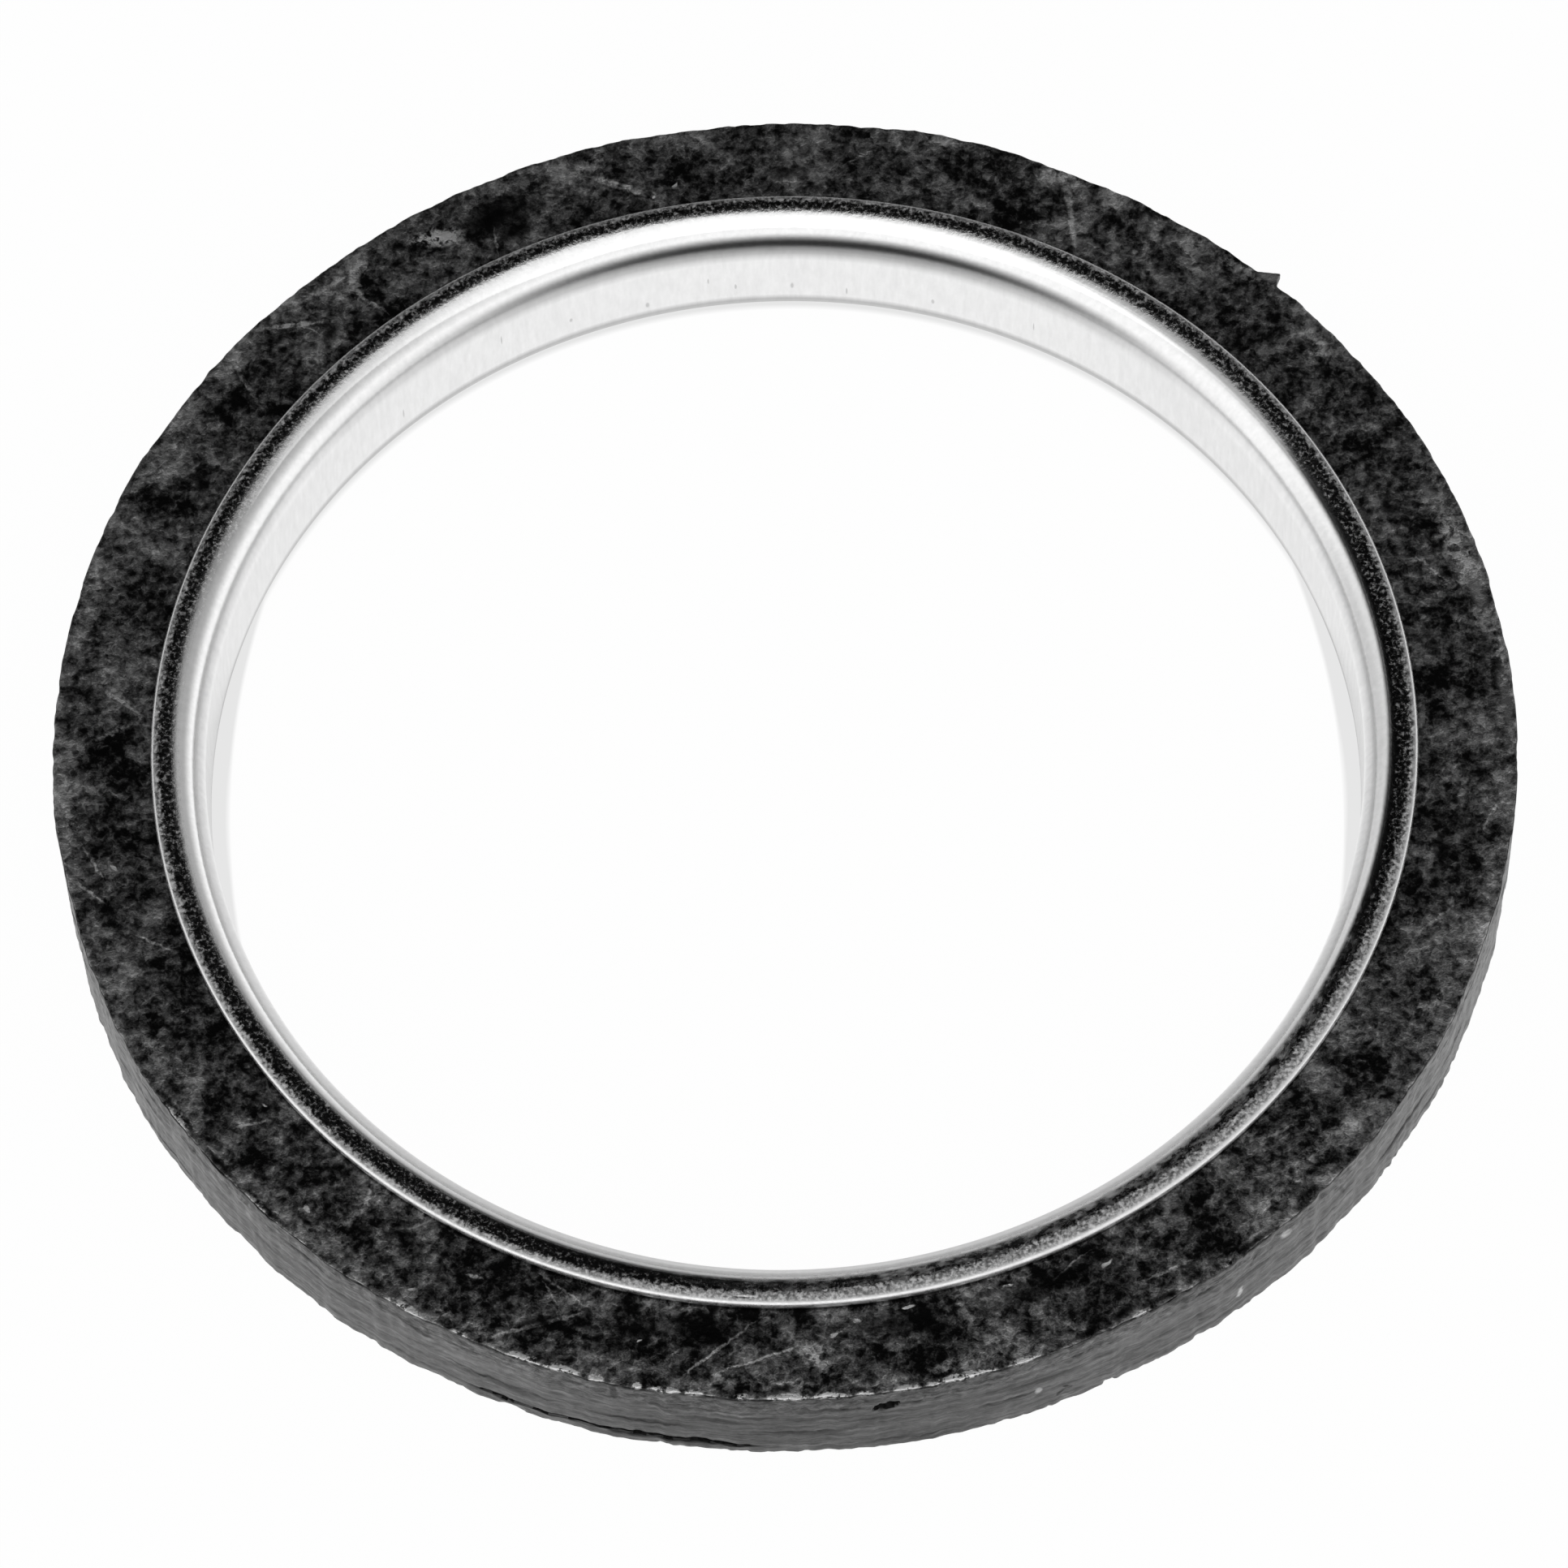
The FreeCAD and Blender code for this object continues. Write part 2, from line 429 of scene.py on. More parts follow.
# Stretches of the upper edge where the die has torn up a bright burr: two angles and a strength
burr_angles = (
    (246.8, 249.4, 0.8), (249.8, 252.6, 1.0), (253.4, 254.4, 0.6), (258.0, 260.4, 0.9),
    (260.8, 262.2, 0.7), (256.9, 257.3, 1.0), (264.6, 265.6, 0.8), (267.0, 270.4, 0.9),
    (270.4, 273.0, 1.0), (273.8, 275.0, 0.6), (279.0, 284.8, 1.0), (285.6, 288.0, 0.6),
    (276.6, 278.6, 0.6), (236.0, 239.6, 0.6), (212.6, 215.0, 0.5), (296.0, 297.4, 0.5),
    (222.0, 224.5, 0.35), (304.0, 305.0, 0.3), (242.0, 243.4, 0.4),
)
burr_radius = ring_radius - 0.27
burr_height = upper_face - 0.02
burr_width = 0.3
burrs = []
for first, last, strength in burr_angles:
    start = ring_place(first, burr_radius, burr_height)
    end = ring_place(last, burr_radius, burr_height)
    outward = ring_place((first + last) / 2, 1, 0.6).normalized()
    burrs.append((start, end, burr_width, strength, outward))


def torn_burr(tree, place, crumbs):
    """The bright burr, broken up into its crumbs."""
    stretches = marks(tree, astray(tree, place, 3.0, 0.07), burrs, 0.6)
    return times(tree, stretches, spread(tree, crumbs, 0.38, 0.56))


# The cut wall: strata of pressed flakes, more torn towards the upper edge
graphite_wall, tree, shader = new_material("graphite_wall")
place, axes = place_and_axes(tree)
height = axes["Z"]
strayed = astray(tree, place, 1.4, 0.22)
squeezed = node(tree, "VectorMath", strayed, (0.4, 0.4, 3.0), operation="MULTIPLY")
strata = grain(tree, squeezed, 1.0, 4.0, 0.65)
torn = grain(tree, astray(tree, place, 1.6, 0.4), 2.4, 3.0, 0.6)
near_top = spread(tree, height, upper_face - 2.0, upper_face - 0.9, 0.12, 1.0)
tone = add_to(tree, 0.33, strata, 0.5)
torn_tone = times(tree, math_node(tree, "SUBTRACT", torn, 0.5), times(tree, near_top, 0.75))
tone = math_node(tree, "ADD", tone, torn_tone)
pale = marks(tree, strayed, on_the_wall((
    (310.1, 5.35, 310.4, 5.05, 0.5, 1.6), (288.0, 2.9, 288.1, 2.6, 0.34, 2.0),
    (305.8, 2.9, 305.7, 2.2, 0.3, 2.0), (222.0, 5.0, 222.6, 4.0, 0.3, 0.5),
    (239.6, 4.5, 240.6, 4.35, 0.26, 0.7), (290.2, 1.3, 290.4, 0.9, 0.25, 0.6),
    (247.6, 4.3, 249.0, 4.2, 0.2, 0.6), (250.5, 4.0, 252.0, 3.9, 0.2, 0.5),
    (258.0, 4.6, 259.8, 3.9, 0.2, 0.7), (262.0, 4.7, 267.0, 4.5, 0.22, 0.55),
    (243.5, 4.9, 245.0, 5.1, 0.3, 0.5), (312.0, 2.6, 320.0, 2.4, 0.3, 0.3),
)))
dark = marks(tree, strayed, on_the_wall((
    (290.1, 2.2, 290.7, 1.9, 0.2, 2.0), (289.6, 1.5, 290.1, 1.9, 0.14, 1.6),
    (299.0, 6.3, 300.4, 5.4, 0.5, 1.0), (307.2, 5.3, 306.8, 4.6, 0.22, 0.9),
    (235.7, 6.2, 235.9, 4.9, 0.2, 0.8), (255.2, 6.1, 255.4, 5.0, 0.3, 0.8),
    (315.0, 6.0, 317.0, 3.4, 0.2, 0.7), (238.6, 5.0, 240.4, 4.65, 0.26, 0.95),
    (222.6, 5.9, 222.0, 5.2, 0.18, 0.7), (229.5, 5.3, 230.4, 5.2, 0.3, 0.6),
    (320.0, 2.5, 325.4, 2.3, 0.34, 0.7), (302.0, 2.4, 302.6, 2.2, 0.26, 0.6),
    (277.6, 0.9, 280.0, 1.3, 0.2, 0.8), (256.0, 4.9, 266.0, 4.75, 0.16, 0.6),
    (262.0, 4.4, 268.0, 4.3, 0.18, 0.5), (240.0, 3.1, 250.0, 2.95, 0.14, 0.45),
    (249.0, 2.85, 262.0, 2.8, 0.12, 0.45), (312.0, 2.9, 319.0, 3.1, 0.2, 0.5),
    (250.0, 4.8, 255.0, 4.6, 0.2, 0.4), (211.0, 6.2, 216.0, 6.2, 0.26, 0.9),
    (217.0, 6.2, 220.6, 6.15, 0.3, 0.9), (221.6, 6.2, 226.0, 6.2, 0.26, 0.9),
    (227.4, 6.2, 229.6, 6.1, 0.3, 0.9), (232.0, 6.2, 234.4, 6.2, 0.24, 0.8),
    (306.0, 6.2, 309.0, 6.1, 0.26, 0.8),
)))
tone = math_node(tree, "MULTIPLY_ADD", pale, 0.2, tone)
tone = times(tree, tone, spread(tree, dark, 0.0, 1.0, 1.0, 0.15))
# Painted shade: the wall is darkened where it lies in a recess, in the crack, the pit and the opened
# joints
shade = tree.nodes.new("ShaderNodeAttribute")
shade.attribute_name = "recess"
tone = times(tree, tone, spread(tree, shade.outputs["Fac"], 0.1, 0.4, 1.0, 0.1))
tone = times(tree, tone, spread(tree, height, upper_face - 1.9, upper_face - 0.7, 1.0, 0.86))
# Painted shade: the wall is darker towards the front
tone = times(tree, tone, spread(tree, axes["Y"], -34.5, -32.0, 0.84, 1.0))
crumbs = grain(tree, place, 4.5, 2.0, 0.6)
tone = math_node(tree, "MULTIPLY_ADD", torn_burr(tree, place, crumbs), 0.65, tone)
tone = math_node(tree, "MAXIMUM", tone, 0.04)
tree.links.new(math_node(tree, "POWER", tone, 2.2), shader.inputs["Base Color"])
shader.inputs["Metallic"].default_value = 0.9
tree.links.new(spread(tree, torn, 0.3, 0.7, 0.42, 0.3), shader.inputs["Roughness"])
raise_surface(tree, shader, math_node(tree, "ADD", strata, times(tree, torn, near_top)), 0.04)

# The upper face: clouds, blotches, flakes, plates and fibre, with the marks that handling left
graphite_face, tree, shader = new_material("graphite_face")
place, axes = place_and_axes(tree)
radius = level_and_radius(tree, axes)[1]
strayed = astray(tree, place, 1.3, 0.3)
frayed = astray(tree, place, 2.6, 0.16)
clouds = grain(tree, place, 0.3, 2.0, 0.6)
blotches = grain(tree, strayed, 0.9, 3.0, 0.6)
flakes = grain(tree, frayed, 2.4, 4.0, 0.72)
plates = tree.nodes.new("ShaderNodeTexVoronoi")
tree.links.new(frayed, plates.inputs["Vector"])
plates.inputs["Scale"].default_value = 2.6
fibre = grain(tree, strayed, 1.2, 3.0, 0.55)
fibre = math_node(tree, "ABSOLUTE", math_node(tree, "SUBTRACT", fibre, 0.5))
fibre = times(tree, spread(tree, fibre, 0.0, 0.035, 1.0, 0.0), spread(tree, blotches, 0.4, 0.6))
tone = add_to(tree, 0.14, clouds, 0.4)
tone = add_to(tree, tone, blotches, 0.5)
tone = add_to(tree, tone, flakes, 0.65)
tone = add_to(tree, tone, plates.outputs["Color"], 0.09)
tone = math_node(tree, "MULTIPLY_ADD", fibre, 0.06, tone)
tone = math_node(tree, "ADD", tone, spread(tree, radius, ring_radius - 1.8, ring_radius - 0.4, 0.0, 0.06))
tone = math_node(tree, "ADD", tone, spread(tree, axes["Y"], -30.0, -20.0, -0.025, 0.0))
scratches = marks(tree, frayed, on_the_face((
    (64.6, 34.3, 60.4, 30.4, 0.3, 0.6), (105.6, 33.1, 100.3, 30.9, 0.3, 0.7),
    (127.0, 33.8, 128.8, 32.0, 0.5, 0.8), (128.6, 32.8, 127.2, 30.1, 0.16, 0.55),
    (134.0, 34.2, 126.6, 33.3, 0.26, 0.45), (136.8, 34.4, 131.4, 31.9, 0.2, 0.9),
    (140.0, 34.3, 142.4, 31.2, 0.2, 0.5), (134.2, 33.4, 133.2, 31.6, 0.1, 0.5),
    (114.6, 32.2, 115.8, 30.2, 0.08, 0.7), (152.4, 33.9, 151.6, 32.8, 0.2, 0.4),
    (173.0, 32.8, 175.8, 30.5, 0.16, 0.5), (178.4, 32.9, 176.0, 30.3, 0.26, 0.55),
    (187.6, 33.6, 191.8, 32.8, 0.12, 0.6), (190.6, 34.4, 193.8, 32.9, 0.12, 0.65),
    (197.2, 32.1, 199.6, 30.8, 0.12, 0.7), (217.0, 32.8, 218.6, 31.1, 0.13, 0.7),
    (244.2, 34.4, 252.0, 31.2, 0.18, 0.8), (252.0, 31.2, 245.8, 30.1, 0.12, 0.6),
    (249.2, 31.5, 246.9, 30.4, 0.1, 0.5), (259.6, 34.1, 266.6, 30.2, 0.13, 0.85),
    (262.6, 33.4, 270.6, 31.6, 0.12, 0.8), (303.0, 33.4, 297.4, 33.0, 0.1, 0.5),
    (318.0, 31.6, 314.0, 30.8, 0.1, 0.5), (352.0, 33.9, 349.0, 33.3, 0.12, 0.5),
    (254.2, 34.0, 255.8, 33.2, 0.1, 0.5), (258.8, 33.0, 259.8, 32.2, 0.1, 0.5),
    (291.0, 31.2, 296.0, 30.4, 0.1, 0.6), (12.0, 33.0, 16.5, 31.5, 0.1, 0.5),
    (342.0, 32.8, 338.0, 31.4, 0.1, 0.4), (80.0, 33.4, 84.0, 31.8, 0.1, 0.4),
), 1.6))
patches = marks(tree, strayed, on_the_face((
    (9.0, 34.1, 24.0, 33.8, 1.7, 0.55), (1.0, 34.4, 8.0, 34.3, 0.8, 0.45),
    (36.0, 33.4, 40.5, 34.0, 0.9, 0.4), (44.5, 34.4, 49.5, 34.0, 1.0, 0.5),
    (62.4, 34.3, 66.0, 34.0, 1.1, 0.5), (73.8, 34.3, 76.4, 33.9, 0.9, 0.42),
    (95.3, 34.0, 97.0, 32.8, 0.8, 0.42), (103.0, 34.2, 106.2, 33.2, 1.0, 0.5),
    (118.0, 32.4, 121.0, 33.1, 1.3, 2.2), (126.0, 33.9, 127.6, 32.8, 0.9, 0.5),
    (229.8, 33.6, 230.2, 31.0, 0.6, 0.5), (230.8, 31.4, 229.0, 30.1, 0.35, 0.5),
    (269.4, 31.6, 272.0, 33.2, 1.3, 0.6), (285.8, 34.0, 282.8, 30.1, 0.5, 0.35),
    (306.0, 33.6, 322.0, 33.1, 1.1, 0.3), (183.8, 34.1, 187.0, 33.7, 0.5, 0.6),
    (252.0, 30.6, 246.0, 31.4, 0.8, 0.3), (272.4, 31.4, 273.6, 31.0, 0.4, 0.6),
    (205.0, 33.6, 209.0, 33.9, 0.9, 0.35), (240.0, 33.8, 246.0, 33.9, 0.9, 0.35),
    (330.0, 33.6, 336.0, 33.8, 0.9, 0.3), (262.0, 33.8, 274.0, 33.9, 0.9, 0.3),
    (277.0, 33.9, 289.0, 33.8, 0.9, 0.3),
)), 0.85)
smooth = marks(tree, strayed, on_the_face((
    (44.4, 34.9, 46.2, 34.5, 1.1, 1.0), (18.6, 33.7, 22.6, 33.6, 1.0, 0.9),
    (8.0, 34.2, 17.0, 33.9, 1.3, 1.0), (-3.0, 34.4, 6.0, 34.3, 1.1, 0.8),
    (-11.0, 34.4, -6.0, 34.3, 0.7, 0.6), (-17.4, 34.0, -14.6, 33.8, 0.8, 0.7),
)), 0.6)
bare = marks(tree, frayed, on_the_face((
    (190.4, 32.3, 190.6, 32.2, 0.22, 0.8), (226.4, 33.0, 226.8, 33.05, 0.26, 1.0),
    (262.8, 33.35, 263.3, 33.35, 0.24, 0.8), (272.2, 31.4, 272.7, 31.35, 0.2, 1.0),
    (287.6, 30.6, 288.3, 30.6, 0.18, 0.6), (278.6, 30.4, 279.6, 30.4, 0.2, 0.8),
    (98.0, 31.4, 98.2, 31.3, 0.2, 0.5), (100.2, 30.9, 100.3, 30.8, 0.16, 0.6),
    (296.0, 31.5, 296.9, 31.4, 0.18, 0.6), (237.5, 33.5, 237.8, 33.4, 0.16, 0.6),
    (256.4, 32.2, 256.6, 32.1, 0.14, 0.8), (274.2, 30.7, 274.8, 30.8, 0.2, 0.4),
    (270.8, 32.6, 271.2, 32.3, 0.18, 0.5), (241.0, 31.6, 242.2, 31.5, 0.22, 0.5),
    (217.0, 30.9, 217.3, 30.8, 0.14, 0.4),
)))
holes = marks(tree, frayed, on_the_face((
    (189.3, 32.2, 189.6, 32.2, 0.4, 0.9), (227.2, 33.5, 227.6, 33.5, 0.36, 1.0),
    (262.9, 33.9, 263.5, 33.8, 0.4, 1.0), (20.8, 31.5, 22.2, 31.5, 0.9, 0.9),
    (112.0, 32.6, 116.4, 32.4, 2.4, 1.0), (112.0, 31.4, 114.0, 31.2, 1.4, 0.8),
    (132.2, 31.7, 133.2, 31.4, 0.8, 0.8), (163.4, 31.8, 163.8, 31.7, 0.4, 0.9),
    (164.2, 32.7, 164.5, 32.7, 0.34, 0.8), (291.6, 34.1, 293.0, 34.1, 0.5, 0.7),
    (294.6, 34.0, 296.2, 33.9, 0.6, 1.0), (233.0, 31.6, 235.0, 31.2, 0.7, 0.8),
    (247.0, 32.8, 249.0, 32.2, 0.9, 0.7), (250.6, 33.9, 251.8, 33.8, 0.35, 0.9),
    (255.0, 31.8, 258.0, 31.4, 0.9, 0.6), (267.4, 33.9, 269.0, 33.8, 0.5, 0.8),
    (280.0, 32.0, 282.0, 31.6, 0.8, 0.7), (345.0, 31.6, 348.0, 31.6, 1.0, 0.7),
    (6.0, 31.2, 9.0, 31.0, 0.9, 0.6), (86.0, 31.6, 90.0, 31.6, 1.0, 0.6),
    (150.0, 31.8, 153.0, 31.2, 0.9, 0.7), (33.9, 33.7, 34.2, 33.7, 0.3, 0.8),
    (28.1, 34.4, 28.4, 34.3, 0.3, 0.8), (14.8, 34.2, 15.0, 34.2, 0.24, 0.8),
    (211.0, 34.3, 216.0, 34.3, 0.4, 0.8), (217.0, 34.3, 220.6, 34.3, 0.4, 0.8),
    (221.6, 34.3, 226.0, 34.3, 0.4, 0.8), (298.9, 34.2, 300.0, 34.3, 0.5, 1.0),
    (306.0, 34.3, 309.0, 34.3, 0.5, 0.8), (256.0, 31.2, 266.0, 31.3, 1.7, 0.5),
    (272.0, 31.0, 282.0, 31.3, 1.6, 0.5), (286.0, 31.3, 297.0, 31.2, 1.5, 0.5),
)), 0.8)
scratches = times(tree, scratches, spread(tree, flakes, 0.35, 0.55, 0.35, 0.9))
patches = times(tree, patches, spread(tree, flakes, 0.4, 0.56, 0.2, 1.0))
tone = math_node(tree, "MULTIPLY_ADD", math_node(tree, "MAXIMUM", scratches, patches), 0.3, tone)
smooth = times(tree, smooth, spread(tree, flakes, 0.3, 0.7, 0.22, 0.31))
tone = math_node(tree, "MAXIMUM", tone, smooth)
tone = times(tree, tone, spread(tree, holes, 0.0, 1.0, 1.0, 0.15))
crumbs = grain(tree, place, 4.5, 2.0, 0.6)
tone = math_node(tree, "MULTIPLY_ADD", torn_burr(tree, place, crumbs), 0.8, tone)
bare = times(tree, bare, spread(tree, crumbs, 0.4, 0.54, 0.3, 1.0))
tone = math_node(tree, "MULTIPLY_ADD", bare, 0.8, tone)
tone = math_node(tree, "MAXIMUM", tone, 0.03)
face_colour = times(tree, math_node(tree, "POWER", tone, 2.2), 5.6)
tree.links.new(math_node(tree, "MINIMUM", face_colour, 0.8), shader.inputs["Base Color"])
shader.inputs["Metallic"].default_value = 0.9
tree.links.new(spread(tree, flakes, 0.3, 0.7, 0.5, 0.38), shader.inputs["Roughness"])
raise_surface(tree, shader, math_node(tree, "SUBTRACT", flakes, times(tree, holes, 0.8)), 0.06)

# Painted shade: the insides of the pit, the split and the opened joints are near black, without any shine,
# for the shade in them
graphite_torn, tree, shader = new_material("graphite_torn")
depths = grain(tree, place_and_axes(tree)[0], 6.0)
tree.links.new(spread(tree, depths, 0.3, 0.7, 0.004, 0.02), shader.inputs["Base Color"])
shader.inputs["Roughness"].default_value = 0.9
shader.inputs["Specular IOR Level"].default_value = 0.0

for material in (graphite_wall, graphite_face, graphite_torn):
    ring_mesh.materials.append(material)
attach(graphite_piece, "root")
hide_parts("graphite_ring")


# Bore sleeve
# The real piece is a band of thin bright steel, rolled into a ring that lines the bore.
# Its two ends are spun outward over the graphite into lips, which hold it without glue.
sleeve_steps = 960
lip_edge = 0.22
lip_crown = 0.03
# The upper bend isn't quite round: how far it turns in each stretch, and the radius there
bend_stretches = ((47, 1.925), (12, 2.63), (31, 1.48))


def bend_rows(start):
    """The upper bend from the land to the bore, a degree or two a row."""
    place = np.array(start)
    rows = [tuple(place)]
    turned = 0
    for sweep, stretch_radius in bend_stretches:
        count = round(sweep / 3.2)
        for step in range(count):
            turned += sweep / count
            way = math.radians(turned - sweep / count / 2)
            length = stretch_radius * math.radians(sweep / count)
            place = place - np.array((math.cos(way), math.sin(way))) * length
            rows.append(tuple(place))
    return rows


def sleeve_section():
    """The sleeve's outline, from the upper lip's end down the bore and back behind it."""
    land_end = lip_radius - lip_edge
    rows = arc_rows((land_end, sleeve_top - lip_crown - lip_edge), lip_edge, 0, 84, 6)
    rows += [(upper_bend[0] + (land_end - upper_bend[0]) * share, sleeve_top - lip_crown * share ** 2.2)
             for share in (0.85, 0.65, 0.45, 0.2)]
    rows += bend_rows((upper_bend[0], sleeve_top))
    rows += straight_rows((bore_radius, rows[-1][1] - 0.2), (bore_radius, lower_bend[1]), 5)
    rows += arc_rows(lower_bend, lower_corner, 180, 270, 12)
    rows += arc_rows((land_end, lip_edge), lip_edge, 270, 360, 5)
    rows += [(lip_radius, sheet)]
    rows += arc_rows(lower_bend, lower_corner - sheet, 270, 180, 4)
    rows += arc_rows(upper_bend, upper_corner - sheet, 180, 90, 6)
    rows += [(lip_radius, sleeve_top - sheet)]
    return rows


section = sleeve_section()
sleeve_angles = np.arange(sleeve_steps) * 360 / sleeve_steps
radii, heights = spun(section, sleeve_steps)
sleeve_mesh = lathed_mesh("bore_sleeve_look", sleeve_angles, radii, heights)
sleeve_piece = add_object("bore_sleeve_look", sleeve_mesh)


def on_the_bore(rows):
    """Upright marks on the bore, from their angle, the height of both ends and a width."""
    return [(ring_place(turn, bore_radius, low), ring_place(turn, bore_radius, high), width, 1.0,
             ring_place(turn, 1, 0)) for turn, low, high, width in rows]


steel, tree, shader = new_material("sleeve_steel")
place, axes = place_and_axes(tree)
level, radius = level_and_radius(tree, axes)
height = axes["Z"]
# Grain: rolled round the ring, drawn down the wall, and galled where the lip was spun
direction = node(tree, "VectorMath", level, operation="NORMALIZE")
on_circle = node(tree, "VectorMath", direction, None, None, bore_radius, operation="SCALE")
around = tree.nodes.new("ShaderNodeSeparateXYZ")
tree.links.new(on_circle, around.inputs[0])
across = times(tree, math_node(tree, "SUBTRACT", radius, height), 3.0)
rolled = node(tree, "CombineXYZ", around.outputs["X"], around.outputs["Y"], across)
rolled_grain = grain(tree, rolled, 1.5, 4.0, 0.65)
drawn = node(tree, "VectorMath", place, (1.0, 1.0, 0.22), operation="MULTIPLY")
streaks = grain(tree, drawn, 3.0, 4.0, 0.65)
galling = grain(tree, astray(tree, place, 3.0, 0.12), 3.8, 4.0, 0.66)
fine = grain(tree, place, 12.0, 2.0, 0.5)
mottle = grain(tree, astray(tree, place, 3.0, 0.1), 5.0, 3.0, 0.7)
# The lip's flat land, with a ragged border, which is rubbed bright at the near right
worked = spread(tree, height, sleeve_top - 0.16, sleeve_top - 0.05)
rubbed_side = value_node(tree, "VectorMath", level, (0.48, -0.88, 0.0), operation="DOT_PRODUCT")
rubbed = spread(tree, rubbed_side, 17.0, 27.0, 0.0, 0.4)
ragged = math_node(tree, "ADD", add_to(tree, add_to(tree, radius, galling, 0.4), mottle, 0.5), rubbed)
land = times(tree, spread(tree, ragged, upper_bend[0] - 0.1, upper_bend[0] + 0.26),
             spread(tree, radius, lip_radius - 0.18, lip_radius - 0.08, 1.0, 0.7))
land = times(tree, land, spread(tree, height, sleeve_top - 0.4, sleeve_top - 0.3))
# Tone: streaks, a painted shade line at the foot, a little darker down the bore, specks, smears on the
# land, a painted dark reflection band at the near and far ends, and a painted shadow under the lip's cut
# edge
shader.inputs["Metallic"].default_value = 1.0
# Painted shade: the steel is darker low down, at the foot of the bore and in the lower bend
foot_shade_line = spread(tree, height, 1.2, 1.6, 0.56, 1.0)
steel_tone = times(tree, foot_shade_line, spread(tree, streaks, 0.3, 0.7, 0.9, 1.0))
steel_tone = times(tree, steel_tone,
                   spread(tree, height, sleeve_top - 2.1, sleeve_top - 1.6, 0.92, 1.0))
specks = marks(tree, place, on_the_bore((
    (102.6, 1.9, 2.2, 0.24), (87.6, 2.2, 2.6, 0.2), (110.8, 2.6, 2.8, 0.2), (73.0, 2.2, 2.5, 0.2),
    (93.4, 2.3, 2.7, 0.14), (82.0, 1.8, 2.4, 0.12), (96.2, 3.0, 3.5, 0.1), (118.6, 3.2, 4.0, 0.1),
    (131.0, 2.2, 3.0, 0.12), (62.0, 2.6, 3.3, 0.1),
)))
steel_tone = times(tree, steel_tone, spread(tree, specks, 0.0, 1.0, 1.0, 0.7))
smeared = times(tree, spread(tree, mottle, 0.38, 0.62, 0.62, 0.0),
                spread(tree, radius, lip_radius - 0.3, lip_radius - 0.16, 1.0, 0.0))
smeared = times(tree, smeared, land)
steel_tone = times(tree, steel_tone, math_node(tree, "SUBTRACT", 1.0, smeared))
# Painted dark reflection: a band low in the upper bend, darker at the near and far sides
dark_reflection_band = times(tree, spread(tree, height, sleeve_top - 2.1, sleeve_top - 1.5),
             spread(tree, height, sleeve_top - 0.9, sleeve_top - 0.6, 1.0, 0.0))
ends = spread(tree, math_node(tree, "ABSOLUTE", axes["Y"]), 16.0, 27.0, 0.0, 0.4)
dark_reflection_band = math_node(tree, "SUBTRACT", 1.0, times(tree, dark_reflection_band, ends))
steel_tone = times(tree, steel_tone, dark_reflection_band)
# Painted shadow: the lip's outer cut edge is darkened below its top, where it stands over the graphite
lip_gap_shadow = math_node(tree, "MAXIMUM", spread(tree, radius, lip_radius - 0.04, lip_radius - 0.015, 1.0, 0.0),
                    spread(tree, height, sleeve_top - 0.34, sleeve_top - 0.24, 0.1, 1.0))
steel_tone = times(tree, steel_tone, lip_gap_shadow)
tree.links.new(steel_tone, shader.inputs["Base Color"])
# Gloss: a mirror in the bend, satin down the wall and dull where the metal is galled
satin = spread(tree, height, sleeve_top - 1.1, sleeve_top - 0.5, 0.22, 0.12)
galled = math_node(tree, "MULTIPLY_ADD", rubbed, 0.2, spread(tree, mottle, 0.38, 0.62, 0.3, 0.56))
flecks = spread(tree, mottle, 0.42, 0.68, 0.04, 0.42)
fleck_foot = math_node(tree, "ADD", height, spread(tree, axes["X"], -29.0, -10.0, 0.14, 0.0))
flecks = times(tree, flecks, spread(tree, fleck_foot, sleeve_top - 0.14, sleeve_top - 0.05))
smears = times(tree, spread(tree, rolled_grain, 0.36, 0.66, 0.1, 0.46),
               spread(tree, rubbed, 0.0, 0.4, 0.0, 1.0))
smears = times(tree, smears, spread(tree, height, sleeve_top - 0.5, sleeve_top - 0.2))
flecks = math_node(tree, "MAXIMUM", flecks, smears)
rough = math_node(tree, "MAXIMUM", satin, times(tree, land, galled))
rough = math_node(tree, "MAXIMUM", rough, flecks)
tree.links.new(rough, shader.inputs["Roughness"])
# Relief: galling and fine ripple on the land, the streaks of the wall, and small dents
ripple = math_node(tree, "ADD", galling, times(tree, fine, 0.2))
ripple = times(tree, ripple, spread(tree, worked, 0.0, 1.0, 0.05, 0.45))
ripple = math_node(tree, "ADD", ripple, times(tree, streaks, 0.08))
dents = marks(tree, place, on_the_face((
    (312.4, 29.55, 313.7, 29.45, 0.3, 1.0), (321.6, 29.75, 322.8, 29.6, 0.24, 1.0),
    (304.0, 29.5, 305.0, 29.5, 0.2, 0.7), (264.0, 29.6, 265.6, 29.6, 0.16, 0.7),
    (128.0, 29.5, 128.8, 29.4, 0.3, 0.8), (148.0, 29.4, 149.5, 29.3, 0.3, 0.6),
), height=sleeve_top), 0.9)
raise_surface(tree, shader, math_node(tree, "SUBTRACT", ripple, dents), 0.03)
sleeve_mesh.materials.append(steel)
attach(sleeve_piece, "root")
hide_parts("bore_sleeve")


